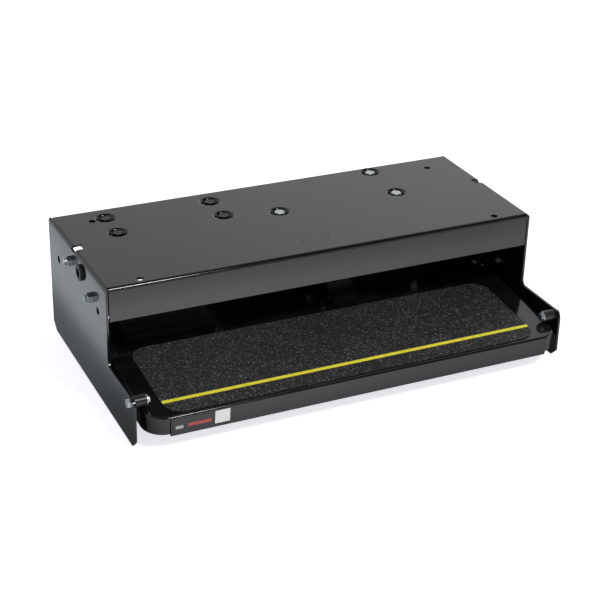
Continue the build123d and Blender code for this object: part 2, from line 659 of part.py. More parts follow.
def gearmotor():
    """Gear housing, its cover, motor can and end cap."""
    x0 = GEARBOX_X
    x1 = GEARBOX_X + GEARBOX_THICKNESS - COVER_THICKNESS
    x2 = GEARBOX_X + GEARBOX_THICKNESS
    shell = side_prism(gearbox_face(GEARBOX_RADIUS), x0, x1)
    shell -= side_prism(gearbox_face(GEARBOX_RADIUS - GEARBOX_WALL), x0 + GEARBOX_WALL, x1)
    boss = rod_x(x0, x0 + GEARBOX_BOSS_LENGTH, CRANK_AXIS, SHAFT_DIAMETER / 2 + GEARBOX_WALL)
    shell += boss
    shell -= rod_x(x0 - CUT, x0 + CUT, CRANK_AXIS, SHAFT_DIAMETER / 2 + SHAFT_GAP)
    cover = side_prism(gearbox_face(GEARBOX_RADIUS), x1, x2)
    cover -= rod_x(x1 - OVERCUT, x2 + OVERCUT, motor_axis(), SHAFT_DIAMETER / 2)
    can = rod_x(x2, x2 + MOTOR_LENGTH, motor_axis(), MOTOR_DIAMETER / 2)
    can = fillet(can.edges().group_by(Axis.X)[-1], MOTOR_EDGE)
    can -= rod_x(x2, x2 + MOTOR_LENGTH - GEARBOX_WALL, motor_axis(), MOTOR_DIAMETER / 2 - MOTOR_WALL)
    cap_start = x2 + MOTOR_LENGTH
    cap = rod_x(cap_start, cap_start + END_CAP_LENGTH, motor_axis(), END_CAP_DIAMETER / 2)
    cap = fillet(cap.edges().group_by(Axis.X)[-1], END_CAP_EDGE)
    bolts = [seat_screw(x, y) for x, y in MOTOR_POINTS]
    nuts = [seat_nut(x, y, SEAT_Z - BRACKET_SHEET) for x, y in MOTOR_POINTS]
    return {
        "gear_housing": [shell],
        "gear_cover": [cover],
        "motor_can": [can],
        "motor_end_cap": [cap],
        "motor_bolts": bolts,
        "motor_nuts": nuts,
    }


def front_arm():
    """Right front arm: a flat bar from the housing pivot to the tread pivot."""
    arm = side_prism(bar_face(FRONT_PIVOT, TREAD_PIVOT, ARM_WIDTH), ARM_INNER, ARM_OUTER)
    for centre in (FRONT_PIVOT, TREAD_PIVOT):
        arm -= rod_x(ARM_INNER - OVERCUT, ARM_OUTER + OVERCUT, centre, BUSH_BARREL / 2 + BUSH_RUNNING_GAP)
    return arm


def rear_arm():
    """Right rear arm, from the housing pivot to the rod between the two rear arms."""
    arm = side_prism(bar_face(REAR_PIVOT, REAR_ROD, REAR_ARM_WIDTH), ARM_INNER, ARM_OUTER)
    arm -= rod_x(ARM_INNER - OVERCUT, ARM_OUTER + OVERCUT, REAR_PIVOT, BUSH_BARREL / 2 + BUSH_RUNNING_GAP)
    return arm - rod_x(ARM_INNER - OVERCUT, ARM_OUTER + OVERCUT, REAR_ROD, ROD_DIAMETER / 2)


def torque_tube():
    """The tube that joins the front arms, so that both sides swing together."""
    radius = TORQUE_TUBE_DIAMETER / 2
    return ring_x(-ARM_INNER, ARM_INNER, TUBE_CENTRE, radius, radius - TORQUE_TUBE_WALL)


def drive_lever():
    """A lug on the torque tube that the drive link pulls."""
    lug = side_prism(bar_face(TUBE_CENTRE, LEVER_PIN, LEVER_WIDTH), CRANK_X, CRANK_X + LEVER_THICKNESS)
    lug -= rod_x(*PLATE_CUT, TUBE_CENTRE, TORQUE_TUBE_DIAMETER / 2)
    return lug - rod_x(*PLATE_CUT, LEVER_PIN, CLEVIS_PIN / 2)


def clevis_pin(centre):
    """A headed pin, fixed in its plate, that carries one end of the drive link."""
    link_outer = CRANK_X - 2 * LINK_SIDE_GAP - LINK_THICKNESS
    head_start = link_outer - LINK_SIDE_GAP
    pin_end = CRANK_X + LEVER_THICKNESS + CLEVIS_PIN_TAIL
    pin = rod_x(head_start, pin_end, centre, CLEVIS_PIN / 2)
    return pin + rod_x(head_start - CLEVIS_HEAD_HEIGHT, head_start, centre, CLEVIS_PIN_HEAD / 2)


def clevis_ring(centre):
    """The push-on ring that holds the pin's far end."""
    start = CRANK_X + LEVER_THICKNESS
    return ring_x(start, start + CLIP_THICKNESS, centre, CLEVIS_PIN_HEAD / 2, CLEVIS_PIN / 2)


def drive_link():
    """The flat link between the gearmotor's crank and the lever."""
    outer = CRANK_X - LINK_SIDE_GAP - LINK_THICKNESS
    inner = CRANK_X - LINK_SIDE_GAP
    link = side_prism(bar_face(CRANK_PIN, LEVER_PIN, LINK_WIDTH), outer, inner)
    link -= rod_x(outer - OVERCUT, inner + OVERCUT, CRANK_PIN, CLEVIS_PIN / 2 + BUSH_RUNNING_GAP)
    return link - rod_x(outer - OVERCUT, inner + OVERCUT, LEVER_PIN, CLEVIS_PIN / 2 + OPEN_PIVOT_GAP)


def output_crank():
    """The crank plate on the gearmotor's output shaft."""
    plate = side_prism(bar_face(CRANK_AXIS, CRANK_PIN, LEVER_WIDTH), CRANK_X, CRANK_X + LEVER_THICKNESS)
    plate -= rod_x(*PLATE_CUT, CRANK_AXIS, SHAFT_DIAMETER / 2 - SHAFT_STEP)
    return plate - rod_x(*PLATE_CUT, CRANK_PIN, CLEVIS_PIN / 2)


def output_shaft():
    """Stepped shaft: a shoulder behind the crank and a journal in the gear housing."""
    shoulder = CRANK_X + LEVER_THICKNESS
    shaft = rod_x(shoulder, GEARBOX_X + GEARBOX_THICKNESS / 2, CRANK_AXIS, SHAFT_DIAMETER / 2)
    stub_end = CRANK_X - CRANK_NUT_HEIGHT - SHAFT_TAIL
    stub = rod_x(stub_end, shoulder, CRANK_AXIS, SHAFT_DIAMETER / 2 - SHAFT_STEP)
    return shaft + stub


def crank_nut():
    """The nut that clamps the crank against the shaft's shoulder."""
    nut = hex_x(CRANK_X - CRANK_NUT_HEIGHT, CRANK_X, CRANK_AXIS, CRANK_NUT_FLATS, -1)
    bore = SHAFT_DIAMETER / 2 - SHAFT_STEP
    return nut - rod_x(CRANK_X - 2 * CRANK_NUT_HEIGHT, CRANK_X + OVERCUT, CRANK_AXIS, bore)


def to_tread(point):
    """A (y, z) place in the tread's own level frame, for a place in the stowed step."""
    dy = point[0] - TREAD_CORNER[0]
    dz = point[1] - TREAD_CORNER[1]
    turn = radians(TREAD_TILT)
    return (dy * cos(turn) + dz * sin(turn), dz * cos(turn) - dy * sin(turn))


def place_tread(piece):
    """Moves a piece from the tread's level frame to its stowed, tilted place."""
    return Pos(0, *TREAD_CORNER) * Rot(TREAD_TILT, 0, 0) * piece


def tread_side_outline():
    """Side wall of the tread: shallow at the nosing, deeper where the arms hang on."""
    front_y, front_z = to_tread(TREAD_PIVOT)
    rear_y, rear_z = to_tread(TREAD_REAR_HOLE)
    margin = WALL_PIVOT_MARGIN
    low_front = (front_y - 2 * margin, front_z - margin)
    low_rear = (front_y + margin, front_z - margin)
    rear_low = (rear_y + margin, rear_z - margin)
    rear_high = (rear_y + margin, rear_z + margin)
    outline = make_face(
        Polyline(
            (0, 0),
            (TREAD_PLATE_DEPTH + margin, 0),
            rear_high,
            rear_low,
            low_rear,
            low_front,
            (TREAD_PLATE_DEPTH / 2, -TREAD_WALL),
            (0, -TREAD_WALL),
            close=True,
        )
    )
    outline = fillet_at(outline, [rear_high, rear_low], WALL_END_RADIUS)
    return fillet_at(outline, [low_front, low_rear], margin)


def tread_corner(side):
    """The rounded front corner: a quarter disc with its wall."""
    radius = TREAD_CORNER_RADIUS
    disc = Cylinder(radius, TREAD_WALL, align=(Align.CENTER, Align.CENTER, Align.MAX))
    disc = fillet(disc.edges().group_by(Axis.Z)[-1], TREAD_CORNER_EDGE)
    hollow = Cylinder(radius - TREAD_SHEET, TREAD_WALL, align=(Align.CENTER, Align.CENTER, Align.MAX))
    corner = disc - Pos(0, 0, -TREAD_SHEET) * hollow
    quarter = Pos(side * radius / 2, -radius / 2, 0) * Box(radius, radius, 4 * TREAD_WALL)
    return Pos(side * (TREAD_SIDE - radius), radius, 0) * (corner & quarter)


def tread_pan():
    """The tread: a folded pan with rounded front corners and long side walls."""
    rear_y, rear_z = to_tread(TREAD_REAR_HOLE)
    length = rear_y + 2 * WALL_PIVOT_MARGIN
    depth = TREAD_WALL + 2 * TREAD_FRONT_DROP
    profile = channel_face(TREAD_WIDTH, depth, TREAD_SHEET, TREAD_BEND_RADIUS)
    pan = extrude(Plane.XZ * profile, -length)
    pan &= side_prism(tread_side_outline(), -TREAD_SIDE, TREAD_SIDE)
    pan -= Pos(0, TREAD_PLATE_DEPTH + length / 2, 0) * Box(2 * TREAD_SIDE_INNER, length, 2 * depth)
    plate_half = ARM_INNER - ARM_NOTCH_CLEARANCE
    notch = Box(TREAD_SIDE_INNER - plate_half, length, 2 * depth)
    for side in (-1, 1):
        pan -= Pos(side * (TREAD_SIDE_INNER + plate_half) / 2, ARM_NOTCH_START + length / 2, 0) * notch
    front_box = Box(2 * TREAD_SIDE, 2 * TREAD_CORNER_RADIUS, 4 * TREAD_WALL)
    pan -= front_box
    middle = TREAD_SIDE - TREAD_CORNER_RADIUS
    top = Pos(0, TREAD_CORNER_RADIUS / 2 + TREAD_BEND_RADIUS / 2, -TREAD_SHEET / 2) * Box(
        2 * middle, TREAD_CORNER_RADIUS - TREAD_BEND_RADIUS, TREAD_SHEET)
    pan += top
    for side in (-1, 1):
        pan += tread_corner(side)
    left = CORNER_SEAM - middle
    right = middle + FLANGE_OVERRUN
    flange = fold_face(FRONT_FLANGE, 2 * TREAD_BEND_RADIUS, TREAD_SHEET, TREAD_BEND_RADIUS, 1)
    pan -= Pos((left + middle) / 2, 0, 0) * Box(middle - left, 2 * TREAD_BEND_RADIUS, 4 * TREAD_WALL)
    pan += side_prism(Pos(-FRONT_FLANGE_PROUD, 0) * flange, left, right)
    seam = Box(CORNER_SEAM, 2 * TREAD_BEND_RADIUS + OVERCUT, 4 * TREAD_WALL)
    pan -= Pos(-(middle - CORNER_SEAM / 2), 0, 0) * seam
    back = fold_face(BACK_FLANGE, 2 * TREAD_BEND_RADIUS, TREAD_SHEET, TREAD_BEND_RADIUS, -1)
    pan -= Pos(0, TREAD_PLATE_DEPTH, 0) * Box(2 * plate_half, 2 * TREAD_BEND_RADIUS, 4 * TREAD_SHEET)
    pan += side_prism(Pos(TREAD_PLATE_DEPTH, 0) * back, -plate_half, plate_half)
    reach = TREAD_SIDE + CUT
    pan -= rod_x(-reach, reach, to_tread(TREAD_PIVOT), PIVOT_BOLT / 2 + BOLT_GAP)
    pan -= rod_x(-reach, reach, (rear_y, rear_z), ROD_DIAMETER / 2 + ROD_HOLE_CLEARANCE)
    return place_tread(pan)


def grip_mat():
    """The grit mat bonded to the tread plate."""
    sheet = Rectangle(MAT_WIDTH, MAT_DEPTH)
    sheet = fillet(sheet.vertices(), MAT_CORNER_RADIUS)
    mat = Pos(MAT_SHIFT, MAT_FRONT_GAP + MAT_DEPTH / 2, 0) * extrude(sheet, MAT_THICKNESS)
    return place_tread(mat)


def edge_stripe():
    """The bright strip along the front of the mat."""
    strip = Box(MAT_WIDTH - 2 * STRIPE_END_MARGIN, STRIPE_WIDTH, STRIPE_THICKNESS)
    return place_tread(Pos(MAT_SHIFT, STRIPE_INSET, MAT_THICKNESS + STRIPE_THICKNESS / 2) * strip)


def tread_pivots():
    """Right side: low head outside the tread wall, bush through the arm, nut inside."""
    centre = TREAD_PIVOT
    barrel_end = ARM_INNER - ARM_AXIAL_GAP
    washer_end = barrel_end - WASHER_THICKNESS
    nut_end = washer_end - THIN_NUT_HEIGHT

    def bolt():
        head = rod_x(TREAD_SIDE, TREAD_SIDE + LOW_HEAD_HEIGHT, centre, HEX_FLATS / 2)
        head = fillet(head.edges().group_by(Axis.X)[-1], LOW_HEAD_EDGE)
        return head + rod_x(nut_end - THIN_NUT_TAIL, TREAD_SIDE, centre, PIVOT_BOLT / 2)

    def bush():
        collar_end = TREAD_SIDE_INNER - TREAD_SPACER + ARM_AXIAL_GAP
        piece = rod_x(collar_end, TREAD_SIDE_INNER, centre, BUSH_COLLAR / 2)
        piece += rod_x(barrel_end, collar_end, centre, BUSH_BARREL / 2)
        bore = PIVOT_BOLT / 2 + BOLT_GAP
        return piece - rod_x(barrel_end - OVERCUT, TREAD_SIDE_INNER + OVERCUT, centre, bore)

    def washer():
        return ring_x(washer_end, barrel_end, centre, WASHER_DIAMETER / 2, PIVOT_BOLT / 2 + BOLT_GAP)

    def nut():
        piece = hex_x(nut_end, washer_end, centre, HEX_FLATS, -1)
        return piece - rod_x(nut_end - OVERCUT, washer_end + OVERCUT, centre, PIVOT_BOLT / 2 + BOLT_GAP)

    return {
        "tread_bolts": both_sides(bolt),
        "tread_bushes": both_sides(bush),
        "tread_washers": both_sides(washer),
        "tread_nuts": both_sides(nut),
    }


def rear_rod():
    """The rod between the rear arms, and the clips that keep the tread on it."""
    end = TREAD_SIDE + CLIP_THICKNESS + ROD_END_REACH
    clip_start = TREAD_SIDE + CLIP_WALL_GAP
    rod = rod_x(-end, end, REAR_ROD, ROD_DIAMETER / 2)
    rod = chamfer(rod.edges().filter_by(GeomType.CIRCLE), ROD_CHAMFER)

    def clip():
        return ring_x(clip_start, clip_start + CLIP_THICKNESS, REAR_ROD, CLIP_DIAMETER / 2, ROD_DIAMETER / 2)

    return {"rear_cross_rod": [rod], "rear_rod_clips": both_sides(clip)}


def build():
    """Every node of the step."""
    front_arms = both_sides(front_arm)
    rear_arms = both_sides(rear_arm)
    nodes = {
        "frame_housing": [frame_housing()],
        "wire_grommet": [wire_grommet()],
        "motor_bracket": [motor_bracket()],
        "front_arm_left": front_arms[:1],
        "front_arm_right": front_arms[1:],
        "rear_arm_left": rear_arms[:1],
        "rear_arm_right": rear_arms[1:],
        "torque_tube": [torque_tube()],
        "drive_lever": [drive_lever()],
        "lever_pin": [clevis_pin(LEVER_PIN)],
        "lever_clip": [clevis_ring(LEVER_PIN)],
        "crank_pin": [clevis_pin(CRANK_PIN)],
        "crank_clip": [clevis_ring(CRANK_PIN)],
        "drive_link": [drive_link()],
        "output_crank": [output_crank()],
        "output_shaft": [output_shaft()],
        "crank_nut": [crank_nut()],
        "tread_pan": [tread_pan()],
        "grip_mat": [grip_mat()],
        "edge_stripe": [edge_stripe()],
    }
    for more in (housing_pivots(), bumpers(), control_unit(), gearmotor(), tread_pivots(), rear_rod()):
        nodes.update(more)
    return nodes


os.makedirs("parts", exist_ok=True)
for name, pieces in build().items():
    export_step(group(pieces), f"parts/{name}.step")
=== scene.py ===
import bpy
import json
from math import cos, radians, sin
from mathutils import Matrix, Vector


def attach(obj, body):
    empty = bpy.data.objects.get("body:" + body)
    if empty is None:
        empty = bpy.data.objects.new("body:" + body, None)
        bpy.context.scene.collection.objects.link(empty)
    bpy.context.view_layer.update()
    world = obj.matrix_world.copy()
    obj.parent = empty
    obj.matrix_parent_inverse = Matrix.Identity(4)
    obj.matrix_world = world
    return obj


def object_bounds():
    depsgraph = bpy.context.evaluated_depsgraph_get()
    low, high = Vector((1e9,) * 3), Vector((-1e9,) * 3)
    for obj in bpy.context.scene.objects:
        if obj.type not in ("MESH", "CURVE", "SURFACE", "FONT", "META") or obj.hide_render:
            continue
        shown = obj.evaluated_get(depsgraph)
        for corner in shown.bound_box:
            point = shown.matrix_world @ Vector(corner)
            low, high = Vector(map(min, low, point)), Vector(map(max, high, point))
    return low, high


# An electric entry step, stowed, on a white studio table.
# X runs across the step, -Y is the side a person steps from, +Z is up.
# Lengths are in metres, apart from the plates on the tread's flange, which are in millimetres.

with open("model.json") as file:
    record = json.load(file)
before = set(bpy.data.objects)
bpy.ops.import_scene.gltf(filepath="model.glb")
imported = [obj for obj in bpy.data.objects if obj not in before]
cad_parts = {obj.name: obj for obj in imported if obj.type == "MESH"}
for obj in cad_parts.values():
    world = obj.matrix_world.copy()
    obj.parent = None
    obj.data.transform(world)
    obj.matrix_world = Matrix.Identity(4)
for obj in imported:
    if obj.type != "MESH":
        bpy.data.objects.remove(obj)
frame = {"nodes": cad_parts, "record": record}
cad_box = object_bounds()

# Label, sticker and a dark strip of painted shade in the seam, on the tread's front flange, in millimetres
# A span is left and right, a drop is down from the flange's top edge

MM = 0.001
TREAD_CORNER_Y = -220.5
TREAD_CORNER_Z = -126.9
TREAD_TILT = radians(4.6)
FLANGE_PROUD = 0.8
PLATE_GAP = 0.02

LABEL_SPAN = (-263.0, -209.5)
LABEL_DROP = (4.0, 26.5)
LABEL_THICK = 0.25
LONG_BAR_SPAN = (-243.0, -212.0)
LONG_BAR_DROP = (13.0, 17.5)
SHORT_BAR_SPAN = (-259.0, -249.0)
SHORT_BAR_DROP = (14.0, 18.5)
BAR_THICK = 0.05
BAR_OUT = 0.28
STICKER_SPAN = (-207.3, -187.5)
STICKER_DROP = (3.8, 22.4)
STICKER_THICK = 0.2
# The dark strip in the seam between the corner and the flange is painted shade
SEAM_SHADE_SPAN = (-265.95, -264.85)
SEAM_SHADE_DROP = (2.0, 24.4)
SEAM_SHADE_THICK = 0.6
SEAM_SHADE_OUT = -1.5

# Surfaces: patch and grain scales are per metre, bump heights are in metres

TONE_STOPS = (0.35, 0.65)
NOISE_RANGE = (0.3, 0.7)
CELL_RANGE = (0.0, 1.0)
CLOUD_DETAIL = 3.0
GRAIN_DETAIL = 2.0
GRAIN_SCALE = 900.0
GRAIN_HEIGHT = 0.00002
GRAIN_STRENGTH = 0.3

COAT_DARK = (0.0045, 0.0048, 0.0055)
COAT_LIGHT = (0.0065, 0.007, 0.008)
COAT_PATCH = 14.0
COAT_ROUGH = (0.09, 0.14)
COAT_BUMP = 0.07
PEEL_SCALE = 420.0
PEEL_DETAIL = 1.0
PEEL_HEIGHT = 0.00015
COAT_GRAIN_SCALE = 1800.0
COAT_GRAIN_HEIGHT = 0.00004

GRIT_SCALE = 760.0
GRIT_TONES = (
    (0.0, (0.007, 0.007, 0.008, 1)),
    (0.55, (0.011, 0.011, 0.01155, 1)),
    (0.82, (0.028, 0.028, 0.0294, 1)),
    (0.93, (0.076, 0.076, 0.0798, 1)),
    (1.0, (0.24, 0.24, 0.252, 1)),
)
GRIT_ROUGH = (0.75, 0.45)
GRIT_BUMP = 0.8
GRIT_HEIGHT = 0.0006
GRIT_FINE_SCALE = 2400.0
GRIT_FINE_BUMP = 0.6
GRIT_FINE_HEIGHT = 0.0002

# Floor: each ramp is a list of places and the level of painted light that a glossy surface sees there, where
# the floor glows though it is no lamp; the low levels under the step are painted shadow

FLOOR_GAP = 0.0004
FLOOR_Z = cad_box[0][2] - FLOOR_GAP
FLOOR_SIZE = 16.0
FLOOR_GREY = (0.82, 0.82, 0.82, 1)
FLOOR_LIFT = 0.72
FRONT_TINT = (1.0, 0.985, 1.03, 1)
SIDE_TINT = (0.9, 0.99, 1.03, 1)
SIDE_START = ((-0.26, 0.0), (-0.19, 1.0))
FRONT_BY_Y = (
    (-1.20, 0.6), (-0.70, 0.75), (-0.50, 1.0), (-0.41, 1.24), (-0.34, 1.75), (-0.305, 1.2), (-0.27, 1.06),
    (-0.19, 1.0))
FRONT_BY_X = ((-0.90, 0.6), (-0.35, 1.0), (-0.18, 1.35), (0.13, 1.2), (0.38, 1.0))
SIDE_BY_Y = ((-0.30, 0.35), (-0.12, 0.5), (0.0, 0.85), (0.10, 1.0), (0.40, 1.0))
# Between x -0.31 and 0.31 the level drops to 0.3: painted shadow under the step
SIDE_BY_X = (
    (-0.85, 1.0), (-0.68, 0.85), (-0.54, 0.4), (-0.46, 0.35), (-0.42, 0.55), (-0.38, 0.98), (-0.345, 0.62),
    (-0.31, 0.3), (0.31, 0.3), (0.36, 0.9))
BEHIND_BY_Y = ((0.13, 0.0), (0.22, 0.65))
BEHIND_BY_X = ((-0.30, 0.0), (-0.23, 1.0), (0.30, 1.0), (0.36, 0.0))

# Room: the same kind of ramps, over the direction in which a glossy surface looks

ROOM_WHITE = (1, 1, 1, 1)
ROOM_AMBIENT = 0.5
ROOM_BACK = (
    (-1.0, 1.0), (0.35, 1.0), (0.52, 0.96), (0.72, 0.95), (0.83, 0.85), (0.90, 0.12), (1.0, 0.06))
ROOM_FRONT = ((-1.0, 1.0), (0.10, 1.0), (0.30, 0.45), (0.45, 0.10), (1.0, 0.06))
ROOM_ACROSS = ((-1.0, 0.75), (0.25, 0.75), (0.40, 0.88), (0.52, 0.95), (1.0, 0.95))
BACK_START = ((-0.2, 0.0), (0.3, 1.0))
LEFT_START = ((-0.45, 1.0), (-0.15, 0.0))

# One soft lamp, for the bright line on the housing's front bend

KEY_PLACE = Vector((0.4, -1.58, 1.96))
KEY_AIM = Vector((0.0, -0.05, -0.08))
KEY_SIZE = 0.46
KEY_POWER = 24.0

# Camera, at the photograph's viewing angle

CAMERA_PLACE = Vector((-0.8249, -1.7256, 0.8504))
CAMERA_RIGHT = Vector((0.90524, -0.42420, 0.02441))
CAMERA_DOWN = Vector((-0.17280, -0.42002, -0.89092))
CAMERA_FORWARD = Vector((0.38818, 0.80228, -0.45352))
CAMERA_LENS = 93.04
CAMERA_SENSOR = 36.0


class Graph:
    """The nodes of one material or world, with short calls that add and join them."""

    def __init__(self, owner):
        owner.use_nodes = True
        self.nodes = owner.node_tree.nodes
        self.links = owner.node_tree.links

    def add(self, kind):
        """A new node."""
        return self.nodes.new(kind)

    def join(self, value, socket):
        """Feeds a socket from another socket or with a plain value."""
        if isinstance(value, bpy.types.NodeSocket):
            self.links.new(value, socket)
        else:
            socket.default_value = value

    def math(self, operation, *values):
        """The result of a sum on sockets or plain numbers."""
        node = self.add("ShaderNodeMath")
        node.operation = operation
        for value, socket in zip(values, node.inputs):
            self.join(value, socket)
        return node.outputs[0]

    def axes(self, space):
        """The X, Y and Z of a place or a direction."""
        coords = self.add("ShaderNodeTexCoord")
        apart = self.add("ShaderNodeSeparateXYZ")
        self.join(coords.outputs[space], apart.inputs[0])
        return apart.outputs

    def ramp(self, value, stops):
        """A level that follows a value through these stops."""
        low, high = stops[0][0], stops[-1][0]
        top = max(level for place, level in stops)
        remap = self.add("ShaderNodeMapRange")
        self.join(low, remap.inputs["From Min"])
        self.join(high, remap.inputs["From Max"])
        self.join(value, remap.inputs["Value"])
        curve = self.add("ShaderNodeFloatCurve")
        points = curve.mapping.curves[0].points
        spots = [((place - low) / (high - low), level / top) for place, level in stops]
        points[0].location = spots[0]
        points[-1].location = spots[-1]
        for spot in spots[1:-1]:
            points.new(*spot)
        curve.mapping.update()
        self.join(remap.outputs["Result"], curve.inputs["Value"])
        return self.math("MULTIPLY", curve.outputs[0], top)

    def noise(self, scale, detail=CLOUD_DETAIL):
        """Noise on the object's own coordinates."""
        coords = self.add("ShaderNodeTexCoord")
        texture = self.add("ShaderNodeTexNoise")
        self.join(scale, texture.inputs["Scale"])
        self.join(detail, texture.inputs["Detail"])
        self.join(coords.outputs["Object"], texture.inputs["Vector"])
        return texture.outputs["Fac"]

    def cells(self, scale):
        """A random number for each small cell, and the distance to the cell's middle."""
        coords = self.add("ShaderNodeTexCoord")
        grid = self.add("ShaderNodeTexVoronoi")
        self.join(scale, grid.inputs["Scale"])
        self.join(coords.outputs["Object"], grid.inputs["Vector"])
        apart = self.add("ShaderNodeSeparateColor")
        self.join(grid.outputs["Color"], apart.inputs["Color"])
        return apart.outputs["Red"], grid.outputs["Distance"]

    def spread(self, value, bounds, source=NOISE_RANGE):
        """A value mapped from one range to another."""
        remap = self.add("ShaderNodeMapRange")
        self.join(source[0], remap.inputs["From Min"])
        self.join(source[1], remap.inputs["From Max"])
        self.join(bounds[0], remap.inputs["To Min"])
        self.join(bounds[1], remap.inputs["To Max"])
        self.join(value, remap.inputs["Value"])
        return remap.outputs["Result"]

    def tones(self, value, stops):
        """A colour that follows a value through these stops."""
        ramp = self.add("ShaderNodeValToRGB")
        elements = ramp.color_ramp.elements
        for index, (place, colour) in ((0, stops[0]), (1, stops[-1])):
            elements[index].position = place
            elements[index].color = colour
        for place, colour in stops[1:-1]:
            elements.new(place).color = colour
        self.join(value, ramp.inputs["Fac"])
        return ramp.outputs["Color"]

    def bump(self, value, strength, height, below=None):
        """A bump of this height, on top of a coarser one if given."""
        bump = self.add("ShaderNodeBump")
        self.join(strength, bump.inputs["Strength"])
        self.join(height, bump.inputs["Distance"])
        self.join(value, bump.inputs["Height"])
        if below is not None:
            self.join(below, bump.inputs["Normal"])
        return bump.outputs["Normal"]


# Materials


def node_material(name):
    """A material with its graph and its shader's inputs."""
    mat = bpy.data.materials.new(name)
    graph = Graph(mat)
    return mat, graph, graph.nodes["Principled BSDF"].inputs


def two_tone(graph, value, dark, light):
    """A colour that wanders between two tones."""
    return graph.tones(value, ((TONE_STOPS[0], (*dark, 1)), (TONE_STOPS[1], (*light, 1))))


def surface(name, dark, light, patch, rough, metal=0.0, grain=GRAIN_SCALE, height=GRAIN_HEIGHT, specular=0.5):
    """Two tones, an uneven gloss and a fine grain."""
    mat, graph, shader = node_material(name)
    cloud = graph.noise(patch)
    graph.join(two_tone(graph, cloud, dark, light), shader["Base Color"])
    graph.join(graph.spread(cloud, rough), shader["Roughness"])
    shader["Metallic"].default_value = metal
    shader["Specular IOR Level"].default_value = specular
    graph.join(graph.bump(graph.noise(grain, GRAIN_DETAIL), GRAIN_STRENGTH, height), shader["Normal"])
    return mat


def powder_coat():
    """Gloss black powder coat with its slight orange peel."""
    mat, graph, shader = node_material("black_coat")
    cloud = graph.noise(COAT_PATCH)
    graph.join(two_tone(graph, cloud, COAT_DARK, COAT_LIGHT), shader["Base Color"])
    graph.join(graph.spread(cloud, COAT_ROUGH), shader["Roughness"])
    peel = graph.bump(graph.noise(PEEL_SCALE, PEEL_DETAIL), COAT_BUMP, PEEL_HEIGHT)
    grain = graph.noise(COAT_GRAIN_SCALE, GRAIN_DETAIL)
    graph.join(graph.bump(grain, COAT_BUMP, COAT_GRAIN_HEIGHT, peel), shader["Normal"])
    return mat


def grit():
    """Coarse black grit: dark grains with a few that catch the light."""
    mat, graph, shader = node_material("grit")
    shade, distance = graph.cells(GRIT_SCALE)
    graph.join(graph.tones(shade, GRIT_TONES), shader["Base Color"])
    graph.join(graph.spread(shade, GRIT_ROUGH, CELL_RANGE), shader["Roughness"])
    coarse = graph.bump(distance, GRIT_BUMP, GRIT_HEIGHT)
    fine = graph.noise(GRIT_FINE_SCALE, GRAIN_DETAIL)
    graph.join(graph.bump(fine, GRIT_FINE_BUMP, GRIT_FINE_HEIGHT, coarse), shader["Normal"])
    return mat


MATERIALS = {
    "black_coat": powder_coat(),
    "grit": grit(),
    "zinc": surface(
        "zinc", (0.46, 0.50, 0.52), (0.63, 0.67, 0.69), patch=160.0, rough=(0.33, 0.45), metal=1.0),
    "black_screw": surface(
        "black_screw", (0.003, 0.003, 0.004), (0.006, 0.006, 0.007), patch=260.0, rough=(0.24, 0.34),
        specular=0.25),
    "bush_bronze": surface(
        "bush_bronze", (0.36, 0.26, 0.13), (0.5, 0.37, 0.2), patch=400.0, rough=(0.35, 0.5), metal=1.0),
    "rubber": surface(
        "rubber", (0.009, 0.009, 0.0095), (0.014, 0.014, 0.015), patch=300.0, rough=(0.28, 0.38),
        height=0.00004),
    "black_plastic": surface(
        "black_plastic", (0.012, 0.012, 0.013), (0.02, 0.02, 0.022), patch=90.0, rough=(0.38, 0.5)),
    "socket_plastic": surface(
        "socket_plastic", (0.06, 0.063, 0.068), (0.085, 0.09, 0.095), patch=120.0, rough=(0.4, 0.5)),
    "cast_alloy": surface(
        "cast_alloy", (0.30, 0.31, 0.33), (0.44, 0.45, 0.47), patch=70.0, rough=(0.42, 0.6), metal=1.0,
        grain=700.0, height=0.0001),
    "motor_paint": surface(
        "motor_paint", (0.035, 0.04, 0.048), (0.05, 0.056, 0.066), patch=60.0, rough=(0.35, 0.45)),
    "stripe_yellow": surface(
        "stripe_yellow", (0.82, 0.71, 0.03), (0.95, 0.84, 0.06), patch=240.0, rough=(0.5, 0.65),
        grain=1600.0, height=0.00008),
}

for part in frame["record"]["subparts"]:
    node = frame["nodes"][part["node"]]
    node.data.materials.clear()
    node.data.materials.append(MATERIALS[part["material_slot"]])


# The bare label, its two bars, the blank sticker and a dark strip of painted shade in the corner seam


def flange_point(x, down, out):
    """A point on the tread's front flange, in metres: down from its top edge, out from its face."""
    out += FLANGE_PROUD
    y = TREAD_CORNER_Y + down * sin(TREAD_TILT) - out * cos(TREAD_TILT)
    z = TREAD_CORNER_Z - down * cos(TREAD_TILT) - out * sin(TREAD_TILT)
    return Vector((x, y, z)) * MM


def flange_plate(name, span, drop, thick, mat, out=PLATE_GAP):
    """A thin plate on the flange, moving with the tread."""
    corners = [flange_point(x, down, o) for o in (out, out + thick) for x in span for down in drop]
    faces = [(0, 1, 3, 2), (4, 6, 7, 5), (0, 2, 6, 4), (1, 5, 7, 3), (0, 4, 5, 1), (2, 3, 7, 6)]
    mesh = bpy.data.meshes.new(name)
    mesh.from_pydata([tuple(corner) for corner in corners], [], faces)
    mesh.update()
    mesh.materials.append(mat)
    plate = bpy.data.objects.new(name, mesh)
    bpy.context.collection.objects.link(plate)
    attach(plate, "tread")
    return plate


